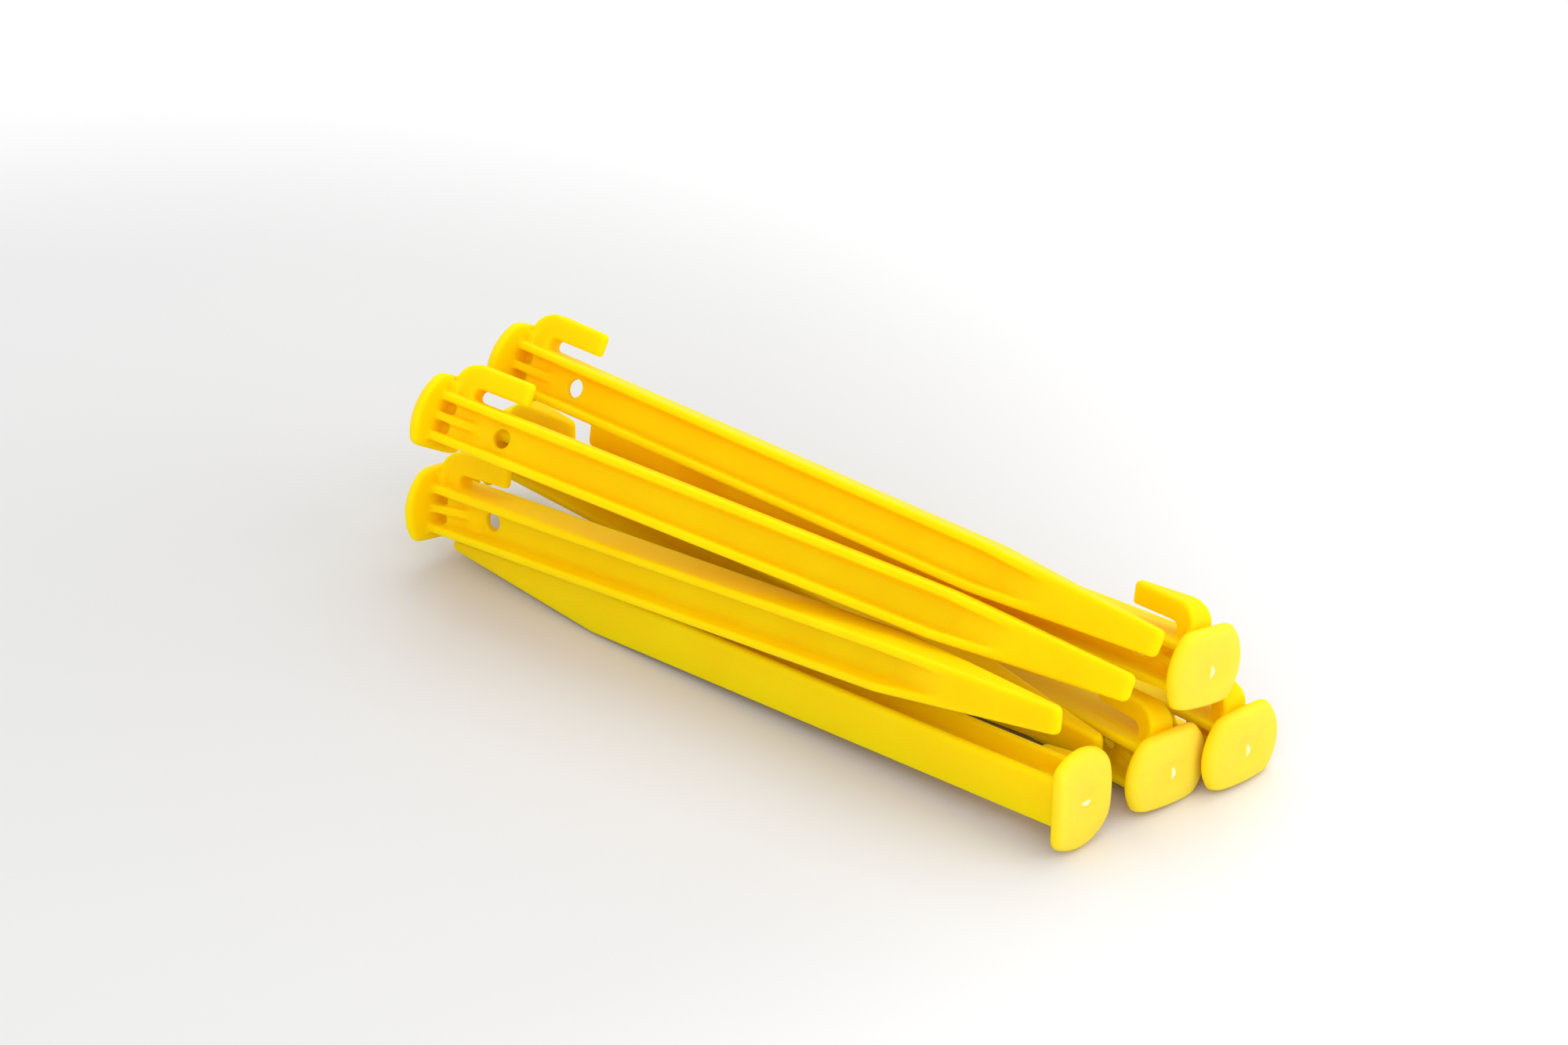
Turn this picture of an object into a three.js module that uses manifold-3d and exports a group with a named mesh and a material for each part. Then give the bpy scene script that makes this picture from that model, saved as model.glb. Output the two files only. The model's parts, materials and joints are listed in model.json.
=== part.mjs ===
// A pile of eight identical moulded plastic tent pegs, laid head to tail.
// Units: millimetres. World frame: +Z up, +X along the pegs, the floor is z = 0.
// Peg frame: x runs from the outside of the head to the tip, z points to the hook side,
// y runs across the width of the flanges.
import * as THREE from 'three';
import Module from 'manifold-3d';

// ---- peg: overall ----
const LENGTH = 229;
const HALF_HEIGHT = 7.0;
const HALF_WIDTH = 6.9;
const EDGE = 0.7;

// ---- peg: pointed end ----
const TAPER_START = 171;
const TIP_HALF_HEIGHT = 3.7;
const TIP_HALF_WIDTH = 1.4;
const TIP_BLUNT = 1.2;

// ---- peg: I-beam recesses ----
const FLANGE = 2.4;
const DRAFT = 0.7;
const WEB_HALF = 1.1;
const RAMP_START = 4.6;
const RAMP_END = 21.5;
const RECESS_FULL = 174;
const RECESS_END = 192;

// ---- peg: grooves either side of the centre rib, next to the head ----
const RIB_HALF = 1.25;
const GROOVE_TOP = 4.35;
const GROOVE_DEPTH = 1.5;
const GROOVE_FULL = 14;
const GROOVE_END = 19.5;
const POCKET_FLOOR = 1.3;
const POCKET_END = 9.0;

// ---- peg: guy-line hole through the web ----
const HOLE_X = 24.4;
const HOLE_RADIUS = 2.65;

// ---- peg: head ----
const HEAD_RADIUS = 14.4;
const HEAD_BACK = 5.2;
const HEAD_FRONT = 0.3;
const RIM_BACK = 1.3;
const RIM_FRONT = 1.9;
const DOME_EDGE = 1.7;
const DISH_RADIUS = 6.4;
const DISH_FLAT = 4.4;
const DISH_DEPTH = 0.75;
const HEAD_TOP = 11.6;
const HEAD_BOTTOM = 9.8;

// ---- peg: hook ----
const HOOK_TOP = 17.1;
const HOOK_BACK = 5.9;
const HOOK_CORNER = 6.2;
const SLOT_TOP = 10.6;
const SLOT_START = 12.3;
const ARM_END = 28.7;
const HOOK_HALF_BACK = 4.6;
const HOOK_HALF_MID = 2.9;
const HOOK_HALF_END = 1.4;

// ---- where each peg lies: head position, then yaw, pitch and roll in degrees ----
const PILE = [
  { name: 'peg_1', at: [-113.4, 0.9, 53.4], turn: [-0.9, -0.8, -30.6] },
  { name: 'peg_2', at: [-113.7, -31.3, 50.4], turn: [4.6, -2.3, -32.9] },
  { name: 'peg_3', at: [-121.7, -24.2, 16.5], turn: [-2, 5.2, -12.6] },
  { name: 'peg_4', at: [-127.4, 11.6, 18.7], turn: [-4.6, -1, 0] },
  { name: 'peg_5', at: [122.6, 11.4, 38.1], turn: [176.8, -3.6, 13] },
  { name: 'peg_6', at: [119.1, 0.7, 10.83], turn: [172.1, -1.1, 5.2] },
  { name: 'peg_7', at: [127.3, 22.5, 10.72], turn: [174.8, -1.1, 4] },
  { name: 'peg_8', at: [114.1, -30, 14.82], turn: [177.9, -2.5, 94.3] },
];

const wasm = await Module();
wasm.setup();

function closedGeometry(points, faces) {
  const geometry = new THREE.BufferGeometry();
  geometry.setAttribute('position', new THREE.Float32BufferAttribute(points.flat(), 3));
  geometry.setIndex(faces.flat());
  return geometry;
}

function toSolid(geometry) {
  const index = geometry.index;
  const mesh = new wasm.Mesh({
    numProp: 3,
    vertProperties: new Float32Array(geometry.attributes.position.array),
    triVerts: new Uint32Array(index.array),
  });
  mesh.merge();
  return new wasm.Manifold(mesh);
}

// A solid through rings of points, one ring per station, capped at both ends.
function loft(rings) {
  const count = rings[0].length;
  const points = rings.flat();
  const faces = [];
  for (let r = 0; r + 1 < rings.length; r += 1) {
    for (let k = 0; k < count; k += 1) {
      const a = r * count + k;
      const b = r * count + ((k + 1) % count);
      faces.push([a, b, b + count], [a, b + count, a + count]);
    }
  }
  const last = (rings.length - 1) * count;
  for (let k = 1; k + 1 < count; k += 1) {
    faces.push([0, k + 1, k], [last, last + k, last + k + 1]);
  }
  return toSolid(closedGeometry(points, faces));
}

// A rectangle with cut corners, standing across the peg at x.
function barRing(x, halfWidth, halfHeight, edge) {
  const w = halfWidth;
  const h = halfHeight;
  return [
    [x, w, -h + edge], [x, w, h - edge], [x, w - edge, h], [x, -w + edge, h],
    [x, -w, h - edge], [x, -w, -h + edge], [x, -w + edge, -h], [x, w - edge, -h],
  ];
}

// One cross-section of a cutter that opens to the side: a narrow floor and a wider mouth.
function cutRing(x, side, floor, low, high, flare) {
  const mouth = 20;
  const slope = flare / (HALF_WIDTH - WEB_HALF);
  const more = (mouth - floor) * slope;
  const ring = [
    [x, side * floor, low], [x, side * mouth, low - more],
    [x, side * mouth, high + more], [x, side * floor, high],
  ];
  return side > 0 ? ring : ring.reverse();
}

function halfHeightAt(x) {
  const t = Math.max(0, (x - TAPER_START) / (LENGTH - TAPER_START));
  return HALF_HEIGHT + (TIP_HALF_HEIGHT - HALF_HEIGHT) * t;
}

function halfWidthAt(x) {
  const t = Math.max(0, (x - TAPER_START) / (LENGTH - TAPER_START));
  return HALF_WIDTH + (TIP_HALF_WIDTH - HALF_WIDTH) * t;
}

function bar() {
  const rings = [
    barRing(3.2, HALF_WIDTH, HALF_HEIGHT, EDGE),
    barRing(TAPER_START, HALF_WIDTH, HALF_HEIGHT, EDGE),
  ];
  for (const x of [200, LENGTH - TIP_BLUNT]) {
    rings.push(barRing(x, halfWidthAt(x), halfHeightAt(x), EDGE));
  }
  rings.push(barRing(LENGTH, TIP_HALF_WIDTH * 0.55, TIP_HALF_HEIGHT - 0.9, 0.5));
  return loft(rings);
}

// Next to the head the floor between the flanges slopes from their edges down to the web.
function rampAt(x) {
  return THREE.MathUtils.mapLinear(x, RAMP_START, RAMP_END, HALF_WIDTH, WEB_HALF);
}

// The long recess beside the web; its floor runs out where the peg narrows to the tip.
function recess(side) {
  const section = (x, floor) => {
    const reach = halfHeightAt(x) - FLANGE - DRAFT;
    return cutRing(x, side, floor, -reach, reach, DRAFT);
  };
  const rings = [
    section(RAMP_START, rampAt(RAMP_START)),
    section(RAMP_END, WEB_HALF),
    section(RECESS_FULL, WEB_HALF),
    section(RECESS_END, halfWidthAt(RECESS_END) + 0.2),
  ];
  return loft(rings);
}

// A groove follows the slope and fades out towards the hole.
function groove(side, low, high) {
  const section = (x, depth) => cutRing(x, side, rampAt(x) - depth, low, high, 0.2);
  const rings = [
    section(HEAD_BACK - 0.4, GROOVE_DEPTH),
    section(GROOVE_FULL, GROOVE_DEPTH),
    section(GROOVE_END, -0.1),
  ];
  return loft(rings);
}

function pocket(side, low, high) {
  const rings = [
    cutRing(HEAD_BACK - 0.4, side, POCKET_FLOOR, low, high, 0.2),
    cutRing(POCKET_END, side, POCKET_FLOOR, low, high, 0.2),
  ];
  return loft(rings);
}

function hole() {
  const geometry = new THREE.CylinderGeometry(HOLE_RADIUS, HOLE_RADIUS, 20, 20);
  geometry.translate(HOLE_X, 0, 0);
  geometry.deleteAttribute('normal');
  geometry.deleteAttribute('uv');
  return toSolid(geometry);
}

// Turned head: a thick plate with a rounded rim, a low dome and a shallow dish in the middle.
function head() {
  const rim = HEAD_RADIUS;
  const dish = HEAD_FRONT + DISH_DEPTH;
  const profile = new THREE.Path();
  profile.moveTo(0, -HEAD_BACK);
  profile.lineTo(rim - RIM_BACK, -HEAD_BACK);
  profile.quadraticCurveTo(rim, -HEAD_BACK, rim, -HEAD_BACK + RIM_BACK);
  profile.quadraticCurveTo(rim, -DOME_EDGE - 0.4, rim - RIM_FRONT, -DOME_EDGE);
  profile.quadraticCurveTo(9.4, -HEAD_FRONT, DISH_RADIUS, -HEAD_FRONT);
  profile.lineTo(DISH_FLAT, -dish);
  profile.lineTo(0, -dish);
  const geometry = new THREE.LatheGeometry(profile.getPoints(3), 32);
  geometry.rotateZ(Math.PI / 2);
  geometry.deleteAttribute('normal');
  geometry.deleteAttribute('uv');
  const turned = toSolid(geometry);
  const height = HEAD_TOP + HEAD_BOTTOM;
  const block = new THREE.BoxGeometry(12, 40, height);
  block.translate(4, 0, (HEAD_TOP - HEAD_BOTTOM) / 2);
  block.deleteAttribute('normal');
  block.deleteAttribute('uv');
  return turned.intersect(toSolid(block));
}

function extruded(shape, depth, segments) {
  const geometry = new THREE.ExtrudeGeometry(shape, {
    depth,
    bevelEnabled: false,
    curveSegments: segments,
  });
  geometry.deleteAttribute('normal');
  geometry.deleteAttribute('uv');
  const index = Array.from({ length: geometry.attributes.position.count }, (_, k) => k);
  geometry.setIndex(index);
  geometry.translate(0, 0, -depth / 2);
  return geometry;
}

// The hook: its side view and its plan view, each extruded, and the part common to both.
function hook() {
  const base = HALF_HEIGHT - 1.2;
  const slotRadius = (SLOT_TOP - HALF_HEIGHT) / 2;
  const slotX = SLOT_START + slotRadius;
  const cornerX = HOOK_BACK + HOOK_CORNER;
  const cornerZ = HOOK_TOP - HOOK_CORNER;
  const side = new THREE.Shape();
  side.moveTo(4.4, base);
  side.lineTo(SLOT_START + 10, base);
  side.lineTo(SLOT_START + 10, HALF_HEIGHT);
  side.lineTo(slotX, HALF_HEIGHT);
  side.absarc(slotX, HALF_HEIGHT + slotRadius, slotRadius, -Math.PI / 2, Math.PI / 2, true);
  side.lineTo(ARM_END - 0.8, SLOT_TOP);
  side.lineTo(ARM_END, SLOT_TOP + 0.8);
  side.lineTo(ARM_END, HOOK_TOP - 0.8);
  side.lineTo(ARM_END - 0.8, HOOK_TOP);
  side.lineTo(cornerX, HOOK_TOP);
  side.absarc(cornerX, cornerZ, HOOK_CORNER, Math.PI / 2, Math.PI, false);
  side.lineTo(4.4, HEAD_TOP - 1.6);
  side.closePath();
  const profile = extruded(side, 20, 6);
  profile.rotateX(Math.PI / 2);

  const plan = new THREE.Shape();
  plan.moveTo(3, -HOOK_HALF_BACK);
  plan.lineTo(5.4, -HOOK_HALF_BACK);
  plan.lineTo(9, -HOOK_HALF_MID - 0.5);
  plan.lineTo(13, -HOOK_HALF_MID);
  plan.lineTo(ARM_END + 1, -HOOK_HALF_END);
  plan.lineTo(ARM_END + 1, HOOK_HALF_END);
  plan.lineTo(13, HOOK_HALF_MID);
  plan.lineTo(9, HOOK_HALF_MID + 0.5);
  plan.lineTo(5.4, HOOK_HALF_BACK);
  plan.lineTo(3, HOOK_HALF_BACK);
  plan.closePath();
  const top = extruded(plan, 60, 1);
  return toSolid(profile).intersect(toSolid(top));
}

function pegSolid() {
  let beam = bar();
  for (const side of [-1, 1]) {
    beam = beam.subtract(recess(side));
    for (const up of [-1, 1]) {
      const low = up > 0 ? RIB_HALF : -GROOVE_TOP;
      const high = up > 0 ? GROOVE_TOP : -RIB_HALF;
      beam = beam.subtract(groove(side, low, high));
      beam = beam.subtract(pocket(side, low, high));
    }
  }
  return beam.subtract(hole()).add(hook()).add(head());
}

function toGeometry(solid) {
  const mesh = solid.getMesh();
  const geometry = new THREE.BufferGeometry();
  const points = new Float32Array(mesh.vertProperties);
  const faces = new Uint32Array(mesh.triVerts);
  geometry.setAttribute('position', new THREE.BufferAttribute(points, 3));
  geometry.setIndex(new THREE.BufferAttribute(faces, 1));
  return geometry;
}

const pegGeometry = toGeometry(pegSolid());
const pile = new THREE.Group();
for (const { name, at, turn } of PILE) {
  const material = new THREE.MeshStandardMaterial({ color: 0xffd60a, roughness: 0.35 });
  const peg = new THREE.Mesh(pegGeometry, material);
  const [yaw, pitch, roll] = turn.map(THREE.MathUtils.degToRad);
  peg.name = name;
  peg.position.set(...at);
  peg.rotation.set(roll, -pitch, yaw, 'ZYX');
  pile.add(peg);
}

export default pile;
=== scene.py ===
"""A pile of eight moulded plastic tent pegs on a pale studio floor.

The peg is built once, as the zero surface of a distance field, so every moulded edge and inside
corner is rounded. Each CAD node is then replaced by a copy of it, laid at the node's own placement.
Peg frame, in millimetres: x from the outside of the head to the tip, z to the hook side,
y across the flanges.
"""
import json
import math
import bpy
import numpy as np
from mathutils import Matrix, Vector

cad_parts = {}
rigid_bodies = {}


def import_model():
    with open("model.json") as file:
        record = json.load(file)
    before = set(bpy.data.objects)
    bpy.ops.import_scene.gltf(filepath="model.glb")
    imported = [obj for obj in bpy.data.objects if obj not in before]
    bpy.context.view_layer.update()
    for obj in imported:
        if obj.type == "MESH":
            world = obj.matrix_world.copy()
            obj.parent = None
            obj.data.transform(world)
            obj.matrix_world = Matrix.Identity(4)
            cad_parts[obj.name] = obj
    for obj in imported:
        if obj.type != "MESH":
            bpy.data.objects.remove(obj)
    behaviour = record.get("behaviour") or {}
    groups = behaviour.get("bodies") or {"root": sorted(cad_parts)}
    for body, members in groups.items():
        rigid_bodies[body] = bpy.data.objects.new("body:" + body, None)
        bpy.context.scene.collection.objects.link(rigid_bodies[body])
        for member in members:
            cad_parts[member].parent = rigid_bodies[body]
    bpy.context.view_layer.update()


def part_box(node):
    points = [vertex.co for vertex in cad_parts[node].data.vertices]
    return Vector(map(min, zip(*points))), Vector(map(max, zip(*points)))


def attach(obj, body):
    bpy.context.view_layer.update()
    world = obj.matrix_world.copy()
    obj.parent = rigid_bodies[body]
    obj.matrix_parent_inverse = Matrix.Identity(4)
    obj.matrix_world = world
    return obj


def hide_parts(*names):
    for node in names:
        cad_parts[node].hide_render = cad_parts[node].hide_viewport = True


for left_over in list(bpy.data.objects):
    bpy.data.objects.remove(left_over)
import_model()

MM = 0.001

# ---- view: azimuth 0 looks along +Y; lengths in mm, the lens for a 36 mm wide sensor ----
VIEW_AZIMUTH, VIEW_ELEVATION, VIEW_DISTANCE = 40.0, 29.69, 1600.0
AIM = (-56.5, 51.3, 0.0)
LENS = 128.96

# ---- floor, metres: painted shade, greyest at one place and paler out to its reach; world light ----
FLOOR_SIZE = 12.0
FLOOR_SHADE_AT = (-0.16, -0.10, 0.0)
FLOOR_SHADE_REACH = 0.40
WORLD_STRENGTH = 0.82

# ---- peg, mm: the CAD part's driving sizes ----
LENGTH = 229.0
HALF_HEIGHT, HALF_WIDTH = 7.0, 6.9
BAR_START, TAPER_START = 3.2, 171.0
TIP_HALF_HEIGHT, TIP_HALF_WIDTH = 3.7, 1.4
FLANGE, DRAFT, WEB_HALF = 2.4, 0.7, 1.1
RAMP_START, RAMP_END, RECESS_FULL, RECESS_END = 4.6, 21.5, 174.0, 192.0
RIB_HALF, GROOVE_TOP, GROOVE_DEPTH, GROOVE_FULL, GROOVE_END = 1.25, 4.35, 1.5, 14.0, 19.5
POCKET_FLOOR, POCKET_END = 1.3, 9.0
HOLE_X, HOLE_RADIUS = 24.4, 2.65
HEAD_RADIUS, HEAD_BACK, HEAD_TOP, HEAD_BOTTOM = 14.4, 5.2, 11.6, 9.8
HEAD_FRONT, DOME_RISE, DOME_RADIUS, DOME_POWER = 0.3, 1.5, 13.0, 2.6
DISH_HALF_WIDTH, DISH_HALF_HEIGHT, DISH_DEPTH = 6.21, 4.32, 0.75
STUB_RADIUS, STUB_RISE = 1.2, 0.45
HOOK_TOP, HOOK_BACK, HOOK_CORNER, HOOK_SUNK = 17.1, 5.9, 6.2, 1.6
SLOT_TOP, SLOT_START, ARM_END = 10.6, 12.3, 28.7
HOOK_PLAN_X = (5.4, 9.0, 13.0, ARM_END)
HOOK_PLAN_HALF = (4.6, 3.4, 2.9, 1.45)

# ---- rounding of the moulded edges and inside corners, mm ----
BAR_ROUND, TIP_ROUND = 1.28, 2.6
RECESS_ROUND, RECESS_END_ROUND = 1.3, 0.9
GROOVE_ROUND, GROOVE_END_ROUND = 0.9, 1.0
RIM_ROUND, HEAD_BACK_ROUND, FLAT_ROUND = 2.6, 1.5, 1.7
HOOK_ROUND, SLOT_ROUND, ARM_END_ROUND = 1.3, 0.9, 1.6

# ---- grid the peg's surface is found on, mm: stretches as (start, end, step) ----
FINE_STEP = 0.38
GRID_X = (
    (-1.0, 31.0, FINE_STEP),
    (31.0, 168.0, 3.4),
    (168.0, 196.0, 1.0),
    (196.0, 223.0, 0.8),
    (223.0, 230.4, FINE_STEP),
)
GRID_Y = ((-15.2, 15.2, FINE_STEP),)
GRID_Z = ((-10.8, 18.1, FINE_STEP),)
SURFACE_PASSES = 3
LONGEST_MOVE = 0.15

# How far a peg may be from its CAD node's box on any side, metres.
MOST_APART = 0.0008

# ---- plastic colours, linear ----
DEEP_YELLOW = (0.992, 0.620, 0.0002, 1.0)
YELLOW = (0.996, 0.645, 0.0005, 1.0)
LIGHT_YELLOW = (1.000, 0.670, 0.0015, 1.0)
SPECK_YELLOW = (1.0, 0.78, 0.05, 1.0)
# painted sheen: the paler colour of the head's face
PAINTED_SHEEN_YELLOW = (1.0, 0.72, 0.09, 1.0)
# painted glint: near-white highlight on the head's stub
PAINTED_GLINT_WHITE = (1.0, 0.95, 0.72, 1.0)


# ---- distance field of the peg ----
def soft_max(a, b, k):
    """The larger of two fields, with the edge between them rounded over about k mm."""
    h = np.clip(0.5 + 0.5 * (a - b) / k, 0.0, 1.0)
    return b + (a - b) * h + k * h * (1.0 - h)


def soft_min(a, b, k):
    """The smaller of two fields, with the corner between them filled over about k mm."""
    return -soft_max(-a, -b, k)


def half_size(x, full, tip):
    """Half the bar's height or width at x: full along the shank, then narrowing to the tip."""
    t = np.clip((x - TAPER_START) / (LENGTH - TAPER_START), 0.0, 1.0)
    return full + (tip - full) * t


def bar_field(x, y, z):
    height = half_size(x, HALF_HEIGHT, TIP_HALF_HEIGHT)
    width = half_size(x, HALF_WIDTH, TIP_HALF_WIDTH)
    across = soft_max(y - width, z - height, BAR_ROUND)
    end = soft_max(x - LENGTH, across, TIP_ROUND)
    return soft_max(end, BAR_START - x, 0.5)


def ramp_at(x):
    """Next to the head the floor between the flanges slopes from their edges down to the web."""
    return HALF_WIDTH + (WEB_HALF - HALF_WIDTH) * (x - RAMP_START) / (RAMP_END - RAMP_START)


def recess_field(x, y, z):
    """The hollow between the flanges: ramp at the head end, web, and a run-out towards the tip."""
    reach = half_size(x, HALF_HEIGHT, TIP_HALF_HEIGHT) - FLANGE - DRAFT
    end_width = half_size(RECESS_END, HALF_WIDTH, TIP_HALF_WIDTH)
    run_out = (end_width - WEB_HALF) / (RECESS_END - RECESS_FULL)
    floor = np.maximum(ramp_at(x), WEB_HALF + np.maximum(x - RECESS_FULL, 0.0) * run_out)
    slope = DRAFT / (HALF_WIDTH - WEB_HALF)
    sides = z - reach - (y - WEB_HALF) * slope
    hollow = soft_max(sides, floor - y, RECESS_ROUND)
    return soft_max(hollow, RAMP_START - x, RECESS_END_ROUND)


def groove_field(x, y, z, floor, end):
    """A channel beside the centre rib, from just inside the head to end, down to floor."""
    middle, half = (RIB_HALF + GROOVE_TOP) / 2, (GROOVE_TOP - RIB_HALF) / 2
    channel = soft_max(np.abs(z - middle) - half, floor - y, GROOVE_ROUND)
    ends = soft_max(x - end, HEAD_BACK - 0.5 - x, 0.4)
    return soft_max(channel, ends, GROOVE_END_ROUND)


def hole_field(x, z):
    return np.hypot(x - HOLE_X, z) - HOLE_RADIUS


def head_field(x, y, z):
    """Domed head with an oval dish, a broken-off stub in the dish, and a flat top and bottom."""
    r = np.hypot(y, z)
    dome = HEAD_FRONT + DOME_RISE * (r / DOME_RADIUS) ** DOME_POWER
    dish = DISH_DEPTH * np.exp(-((y / DISH_HALF_WIDTH) ** 4 + (z / DISH_HALF_HEIGHT) ** 4))
    stub = STUB_RISE * np.exp(-(r / STUB_RADIUS) ** 4)
    plate = soft_max(dome + dish - stub - x, r - HEAD_RADIUS, RIM_ROUND)
    plate = soft_max(plate, x - HEAD_BACK, HEAD_BACK_ROUND)
    flats = soft_max(z - HEAD_TOP, -z - HEAD_BOTTOM, 0.5)
    return soft_max(plate, flats, FLAT_ROUND)


def hook_field(x, y, z):
    """Hook with a round shoulder, an open slot under its arm, and a root against the head."""
    corner_x, corner_z = HOOK_BACK + HOOK_CORNER, HOOK_TOP - HOOK_CORNER
    straight = np.maximum(HOOK_BACK - x, z - HOOK_TOP)
    shoulder = np.hypot(x - corner_x, z - corner_z) - HOOK_CORNER
    side = np.where((x < corner_x) & (z > corner_z), shoulder, straight)
    side = soft_max(side, x - ARM_END, ARM_END_ROUND)
    slot_radius = (SLOT_TOP - HALF_HEIGHT) / 2
    slot_x, slot_z = SLOT_START + slot_radius, HALF_HEIGHT + slot_radius
    slot = np.where(x > slot_x, np.abs(z - slot_z), np.hypot(x - slot_x, z - slot_z)) - slot_radius
    side = soft_max(side, -slot, SLOT_ROUND)
    foot = HALF_HEIGHT - HOOK_SUNK - z
    side = soft_max(side, foot, 0.3)
    half = np.interp(x, HOOK_PLAN_X, HOOK_PLAN_HALF)
    arm = soft_max(side, y - half, HOOK_ROUND)
    root_ends = soft_max(x - HOOK_BACK - 2.0, HEAD_BACK - 1.0 - x, 0.3)
    root_sides = soft_max(z - HEAD_TOP + 1.6, y - HOOK_PLAN_HALF[0], 1.2)
    root = soft_max(root_ends, root_sides, 0.5)
    return soft_min(arm, soft_max(root, foot, 0.3), 0.8)


def peg_field(x, y, z):
    """The whole peg; both halves across y are alike, and so are the bar's halves across z."""
    y = np.abs(y)
    up = np.abs(z)
    beam = soft_max(bar_field(x, y, up), -recess_field(x, y, up), 0.8)
    depth = np.interp(x, (GROOVE_FULL, GROOVE_END), (GROOVE_DEPTH, -0.6))
    beam = soft_max(beam, -groove_field(x, y, up, ramp_at(x) - depth, GROOVE_END + 2.0), 0.6)
    beam = soft_max(beam, -groove_field(x, y, up, POCKET_FLOOR, POCKET_END), 0.5)
    beam = soft_max(beam, -hole_field(x, z), 0.6)
    solid = soft_min(beam, hook_field(x, y, z), 1.0)
    return soft_min(solid, head_field(x, y, z), 0.9)


# ---- surface of a field on a grid with uneven steps ----
def steps(stretches):
    """Grid lines along one axis."""
    lines = [np.linspace(a, b, max(2, round((b - a) / s) + 1))[:-1] for a, b, s in stretches]
    return np.append(np.concatenate(lines), stretches[-1][1])


def gradient(field, p, e=0.02):
    """The field's slope at the points p, from differences over e mm either way."""
    g = np.empty_like(p)
    for axis in range(3):
        step = np.zeros(3)
        step[axis] = e
        g[:, axis] = (field(*(p + step).T) - field(*(p - step).T)) / (2 * e)
    return g


def surface(field, lines):
    """Vertices and quads of the zero surface: one vertex in each cell that the surface crosses."""
    value = field(*np.meshgrid(*lines, indexing="ij", sparse=True))
    inside = value < 0
    cells = tuple(n - 1 for n in value.shape)
    total = np.zeros(cells + (3,))
    count = np.zeros(cells)
    crossings = []
    for axis in range(3):
        low = [slice(None)] * 3
        high = [slice(None)] * 3
        low[axis], high[axis] = slice(None, -1), slice(1, None)
        a, b = value[tuple(low)], value[tuple(high)]
        where = np.argwhere(inside[tuple(low)] != inside[tuple(high)])
        i = tuple(where.T)
        t = a[i] / (a[i] - b[i])
        point = np.stack([lines[k][where[:, k]] for k in range(3)], 1)
        point[:, axis] += t * np.diff(lines[axis])[where[:, axis]]
        u, v = (axis + 1) % 3, (axis + 2) % 3
        for du in (0, 1):
            for dv in (0, 1):
                cell = where.copy()
                cell[:, u] -= du
                cell[:, v] -= dv
                np.add.at(total, tuple(cell.T), point)
                np.add.at(count, tuple(cell.T), 1)
        crossings.append((where, u, v, a[i] < 0))
    number = np.full(cells, -1)
    used = count > 0
    number[used] = np.arange(used.sum())
    points = total[used] / count[used][:, None]
    quads = []
    for where, u, v, forward in crossings:
        corners = []
        for du, dv in ((0, 0), (1, 0), (1, 1), (0, 1)):
            cell = where.copy()
            cell[:, u] -= du
            cell[:, v] -= dv
            corners.append(number[tuple(cell.T)])
        quad = np.stack(corners, 1)
        quad[~forward] = quad[~forward][:, ::-1]
        quads.append(quad)
    # Move each vertex along the slope onto the true surface.
    for _ in range(SURFACE_PASSES):
        g = gradient(field, points)
        steepness = np.maximum((g * g).sum(1), 0.2)
        move = field(*points.T)[:, None] * g / steepness[:, None]
        points -= np.clip(move, -LONGEST_MOVE, LONGEST_MOVE)
    return points, np.concatenate(quads)


def peg_mesh():
    """One peg in its own frame, which each vertex also keeps as the attribute peg_mm."""
    points, quads = surface(peg_field, (steps(GRID_X), steps(GRID_Y), steps(GRID_Z)))
    mesh = bpy.data.meshes.new("tent_peg")
    mesh.from_pydata((points * MM).tolist(), [], quads.tolist())
    mesh.validate()
    mesh.shade_smooth()
    local = mesh.attributes.new("peg_mm", "FLOAT_VECTOR", "POINT")
    local.data.foreach_set("vector", points.ravel())
    return mesh


# ---- plastic ----
def node(tree, kind, at, **values):
    """A new node; each value goes to the input socket of that name, or else to the property."""
    made = tree.nodes.new(kind)
    made.location = at
    for name, value in values.items():
        if name in made.inputs:
            made.inputs[name].default_value = value
        else:
            setattr(made, name, value)
    return made


def noise(tree, coord, at, scale, detail, rough=0.55):
    """Noise over object coordinates; a scale of 100 gives patches of about 10 mm."""
    made = node(tree, "ShaderNodeTexNoise", at, Scale=scale, Detail=detail, Roughness=rough)
    tree.links.new(coord.outputs["Object"], made.inputs["Vector"])
    return made


def ramp(tree, source, at, stops):
    """A colour ramp with the given (position, colour) stops."""
    made = node(tree, "ShaderNodeValToRGB", at)
    tree.links.new(source, made.inputs["Fac"])
    elements = made.color_ramp.elements
    while len(elements) < len(stops):
        elements.new(0.5)
    for element, (position, color) in zip(elements, stops):
        element.position = position
        element.color = color
    return made


def spread(tree, source, at, low, high):
    """Brings a value, from 0 to 1 unless its inputs say otherwise, into the range low to high."""
    made = node(tree, "ShaderNodeMapRange", at)
    made.inputs["To Min"].default_value = low
    made.inputs["To Max"].default_value = high
    tree.links.new(source, made.inputs["Value"])
    return made


def color_mix(tree, factor, a, b, at):
    """A node that goes from colour a (an output) to colour b as the factor rises from 0 to 1."""
    made = node(tree, "ShaderNodeMix", at, data_type="RGBA")
    into = {(i.name, i.type): i for i in made.inputs}
    tree.links.new(factor, into["Factor", "VALUE"])
    tree.links.new(a, into["A", "RGBA"])
    into["B", "RGBA"].default_value = b
    return [o for o in made.outputs if o.type == "RGBA"][0]


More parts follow.
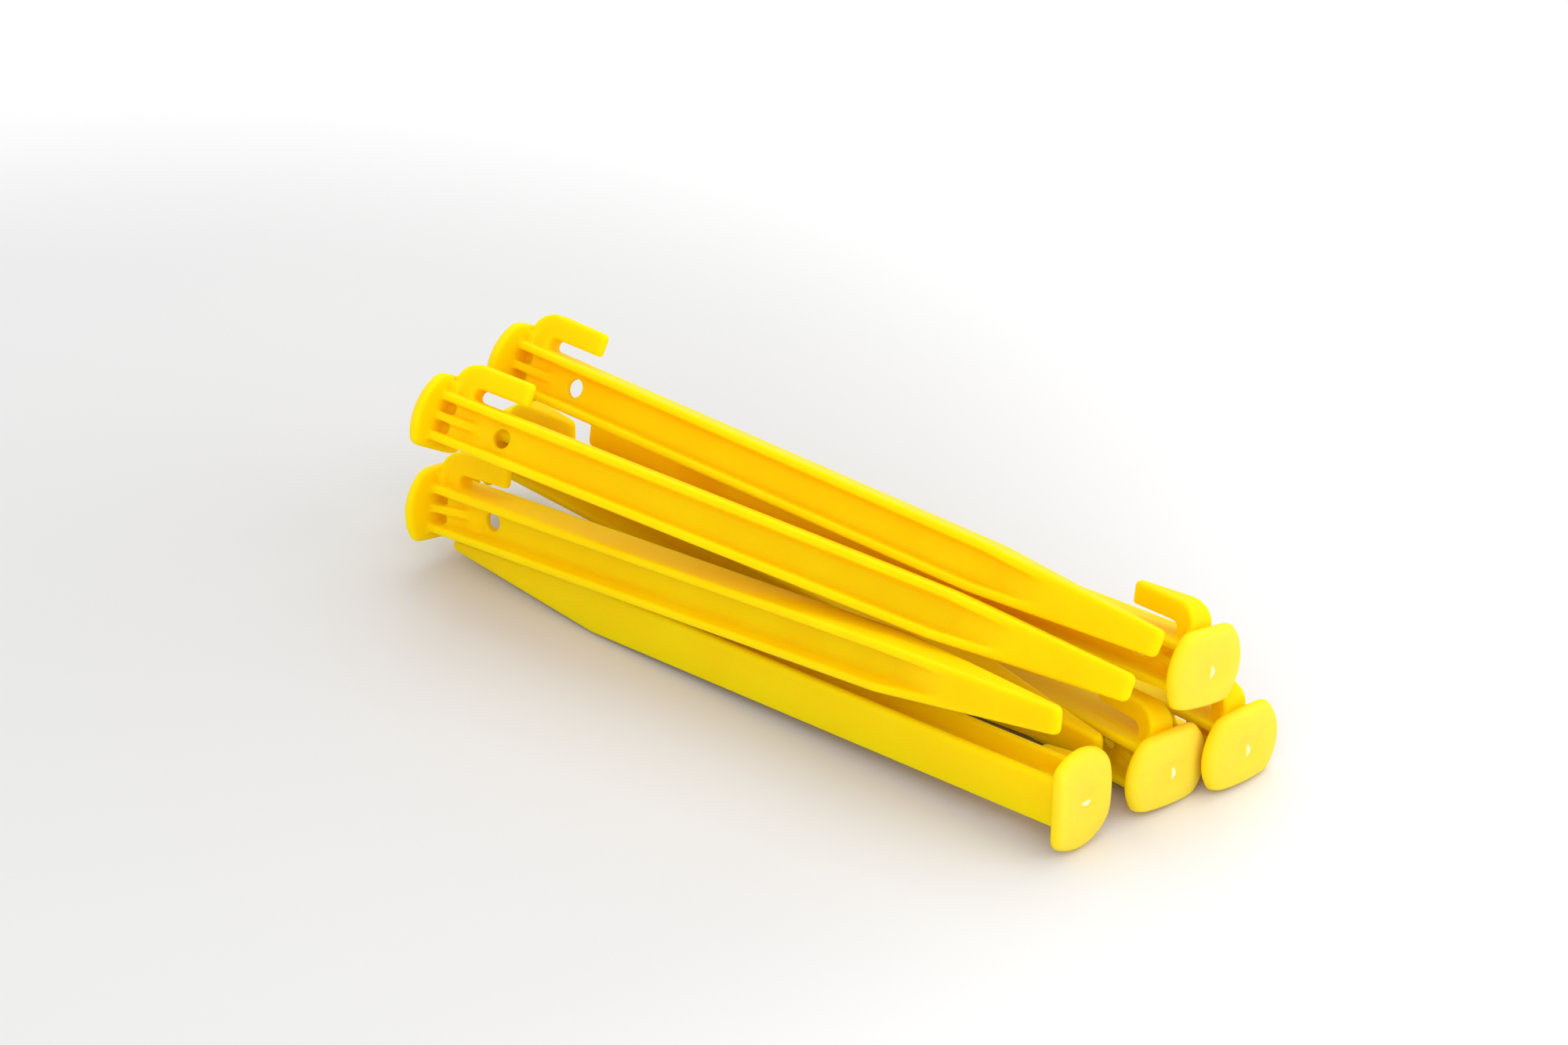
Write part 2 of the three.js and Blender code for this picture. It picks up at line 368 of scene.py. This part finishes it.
def peg_plastic():
    """Yellow moulded polypropylene: semi-gloss and translucent, with flow clouds and fine grain."""
    material = bpy.data.materials.new("peg_plastic")
    material.use_nodes = True
    tree = material.node_tree
    shader = tree.nodes["Principled BSDF"]
    shader.inputs["IOR"].default_value = 1.49
    shader.inputs["Specular IOR Level"].default_value = 0.12
    shader.inputs["Specular Tint"].default_value = (1.0, 0.86, 0.30, 1.0)
    shader.inputs["Subsurface Weight"].default_value = 0.80
    shader.inputs["Subsurface Radius"].default_value = (1.0, 0.60, 0.03)
    shader.inputs["Subsurface Scale"].default_value = 0.008
    coord = node(tree, "ShaderNodeTexCoord", (-1500, 0))

    clouds = noise(tree, coord, (-1250, 300), 55.0, 3.0)
    color = ramp(tree, clouds.outputs["Fac"], (-1000, 300), (
        (0.30, DEEP_YELLOW),
        (0.55, YELLOW),
        (0.75, LIGHT_YELLOW),
    ))
    specks = noise(tree, coord, (-1250, 0), 900.0, 2.0, 0.7)
    pale = ramp(tree, specks.outputs["Fac"], (-1000, 0), (
        (0.66, (0.0, 0.0, 0.0, 1.0)),
        (0.80, (0.22, 0.22, 0.22, 1.0)),
    ))
    speckled = color_mix(tree, pale.outputs["Color"], color.outputs["Color"], SPECK_YELLOW, (-650, 250))

    # Painted sheen: the face of the head is painted paler than the shank, in place of the light it
    # catches; X is the distance from it in mm.
    peg = node(tree, "ShaderNodeAttribute", (-1500, -250), attribute_name="peg_mm")
    along = node(tree, "ShaderNodeSeparateXYZ", (-1250, 550))
    tree.links.new(peg.outputs["Vector"], along.inputs["Vector"])
    face_sheen_fade = spread(tree, along.outputs["X"], (-1000, 550), 0.55, 0.0)
    face_sheen_fade.inputs["From Min"].default_value = 1.2
    face_sheen_fade.inputs["From Max"].default_value = 4.2
    sheen_painted = color_mix(tree, face_sheen_fade.outputs["Result"], speckled, PAINTED_SHEEN_YELLOW, (-520, 400))

    # Painted glint: a near-white highlight painted on the stub in the middle of the head, where the
    # moulding broke off its runner; the mark is taller than wide.
    stub = node(tree, "ShaderNodeMapping", (-1250, -200))
    stub.inputs["Scale"].default_value = (0.42, 1.20, 0.42)
    tree.links.new(peg.outputs["Vector"], stub.inputs["Vector"])
    reach = node(tree, "ShaderNodeVectorMath", (-1000, -200), operation="LENGTH")
    tree.links.new(stub.outputs["Vector"], reach.inputs[0])
    glint_spot = ramp(tree, reach.outputs["Value"], (-850, -200), (
        (0.55, (0.9, 0.9, 0.9, 1.0)),
        (1.00, (0.0, 0.0, 0.0, 1.0)),
    ))
    glint_painted = color_mix(tree, glint_spot.outputs["Color"], sheen_painted, PAINTED_GLINT_WHITE, (-350, 250))
    tree.links.new(glint_painted, shader.inputs["Base Color"])

    handling = noise(tree, coord, (-1250, -500), 140.0, 5.0, 0.65)
    rough = spread(tree, handling.outputs["Fac"], (-650, -300), 0.42, 0.62)
    tree.links.new(rough.outputs["Result"], shader.inputs["Roughness"])

    grain = noise(tree, coord, (-1250, -750), 1500.0, 3.0)
    sink = noise(tree, coord, (-1250, -1000), 90.0, 1.0)
    fine = node(tree, "ShaderNodeBump", (-650, -650), Strength=0.10, Distance=0.00004)
    wide = node(tree, "ShaderNodeBump", (-400, -750), Strength=0.25, Distance=0.00025)
    tree.links.new(grain.outputs["Fac"], fine.inputs["Height"])
    tree.links.new(sink.outputs["Fac"], wide.inputs["Height"])
    tree.links.new(fine.outputs["Normal"], wide.inputs["Normal"])
    tree.links.new(wide.outputs["Normal"], shader.inputs["Normal"])
    return material


# ---- where each peg lies: the CAD part's own placements ----
# Head position in mm, then yaw, pitch (tip up) and roll in degrees.
PILE = {
    "peg_1": ((-113.4, 0.9, 53.4), (-0.9, -0.8, -30.6)),
    "peg_2": ((-113.7, -31.3, 50.4), (4.6, -2.3, -32.9)),
    "peg_3": ((-121.7, -24.2, 16.5), (-2, 5.2, -12.6)),
    "peg_4": ((-127.4, 11.6, 18.7), (-4.6, -1, 0)),
    "peg_5": ((122.6, 11.4, 38.1), (176.8, -3.6, 13)),
    "peg_6": ((119.1, 0.7, 10.83), (172.1, -1.1, 5.2)),
    "peg_7": ((127.3, 22.5, 10.72), (174.8, -1.1, 4)),
    "peg_8": ((114.1, -30, 14.82), (177.9, -2.5, 94.3)),
}


def placement(at, turn):
    yaw, pitch, roll = (math.radians(a) for a in turn)
    heading = Matrix.Rotation(yaw, 4, "Z") @ Matrix.Rotation(-pitch, 4, "Y")
    turned = heading @ Matrix.Rotation(roll, 4, "X")
    return Matrix.Translation(Vector(at) * MM) @ turned


def lay_pegs():
    """Replaces each CAD peg, after checking that the new one lies where the CAD one does."""
    peg = peg_mesh()
    peg.materials.append(peg_plastic())
    for name, (at, turn) in PILE.items():
        mesh = peg.copy()
        mesh.name = name + "_moulding"
        mesh.transform(placement(at, turn))
        made = bpy.data.objects.new(name + "_moulding", mesh)
        bpy.context.scene.collection.objects.link(made)
        lies = np.empty(len(mesh.vertices) * 3)
        mesh.vertices.foreach_get("co", lies)
        lies = lies.reshape(-1, 3)
        low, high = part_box(name)
        apart = np.abs([lies.min(0) - np.array(low), lies.max(0) - np.array(high)]).max()
        if apart > MOST_APART:
            raise ValueError(name + " isn't where its CAD node lies")
        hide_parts(name)
        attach(made, name)
    bpy.data.meshes.remove(peg)


# ---- studio ----
def floor():
    bpy.ops.mesh.primitive_grid_add(x_subdivisions=8, y_subdivisions=8, size=FLOOR_SIZE)
    ground = bpy.context.object
    ground.name = "studio_floor"
    material = bpy.data.materials.new("studio_floor")
    material.use_nodes = True
    tree = material.node_tree
    shader = tree.nodes["Principled BSDF"]
    shader.inputs["Roughness"].default_value = 0.6
    shader.inputs["Specular IOR Level"].default_value = 0.25
    coord = node(tree, "ShaderNodeTexCoord", (-1300, 0))
    # Painted shade: the paper is painted greyest in front of the pile's left end, where the pile's
    # shadow falls, and paler all round.
    away = node(tree, "ShaderNodeMapping", (-1100, 0), vector_type="TEXTURE")
    away.inputs["Location"].default_value = FLOOR_SHADE_AT
    away.inputs["Scale"].default_value = (FLOOR_SHADE_REACH, FLOOR_SHADE_REACH, 1.0)
    reach = node(tree, "ShaderNodeVectorMath", (-900, 0), operation="LENGTH")
    painted_floor_shade = ramp(tree, reach.outputs["Value"], (-700, 0), (
        (0.0, (0.640, 0.640, 0.640, 1.0)),
        (0.5, (0.675, 0.675, 0.675, 1.0)),
        (1.0, (0.870, 0.870, 0.870, 1.0)),
    ))
    painted_floor_shade.color_ramp.interpolation = "EASE"
    tree.links.new(coord.outputs["Object"], away.inputs["Vector"])
    tree.links.new(away.outputs["Vector"], reach.inputs[0])
    tree.links.new(painted_floor_shade.outputs["Color"], shader.inputs["Base Color"])
    paper = noise(tree, coord, (-700, -350), 400.0, 3.0)
    tooth = node(tree, "ShaderNodeBump", (-400, -350), Strength=0.05, Distance=0.0001)
    tree.links.new(paper.outputs["Fac"], tooth.inputs["Height"])
    tree.links.new(tooth.outputs["Normal"], shader.inputs["Normal"])
    ground.data.materials.append(material)


def softbox(name, azimuth, elevation, distance, size, power):
    """An area light that faces the pile from the side that a view at this azimuth looks towards."""
    data = bpy.data.lights.new(name, "AREA")
    data.shape = "RECTANGLE"
    data.size, data.size_y = size
    data.energy = power
    lamp = bpy.data.objects.new(name, data)
    bpy.context.scene.collection.objects.link(lamp)
    a, e = math.radians(azimuth), math.radians(elevation)
    place = Vector((-math.sin(a) * math.cos(e), math.cos(a) * math.cos(e), math.sin(e))) * distance
    lamp.location = place
    lamp.rotation_euler = (-place).to_track_quat("-Z", "Y").to_euler()


def lights():
    # Azimuths as for the camera's view: 40 is straight behind the pile as the camera sees it.
    softbox("top_back", 10.0, 62.0, 1.6, (1.6, 1.2), 8.0)
    softbox("fill_front", 212.0, 38.0, 2.4, (2.0, 1.4), 17.0)
    softbox("side_right", -75.0, 35.0, 1.8, (1.4, 1.2), 7.0)
    world = bpy.data.worlds.new("studio")
    world.use_nodes = True
    background = world.node_tree.nodes["Background"]
    background.inputs["Color"].default_value = (1.0, 1.0, 1.0, 1.0)
    background.inputs["Strength"].default_value = WORLD_STRENGTH
    bpy.context.scene.world = world


def camera():
    data = bpy.data.cameras.new("camera")
    data.sensor_width = 36.0
    data.lens = LENS
    data.clip_end = 20.0
    made = bpy.data.objects.new("camera", data)
    bpy.context.scene.collection.objects.link(made)
    a, e = math.radians(VIEW_AZIMUTH), math.radians(VIEW_ELEVATION)
    towards = Vector((-math.sin(a) * math.cos(e), math.cos(a) * math.cos(e), -math.sin(e)))
    made.location = Vector(AIM) * MM - towards * VIEW_DISTANCE * MM
    made.rotation_euler = towards.to_track_quat("-Z", "Y").to_euler()
    bpy.context.scene.camera = made


lay_pegs()
floor()
lights()
camera()
view = bpy.context.scene.view_settings
view.view_transform = "Standard"
view.look = "None"
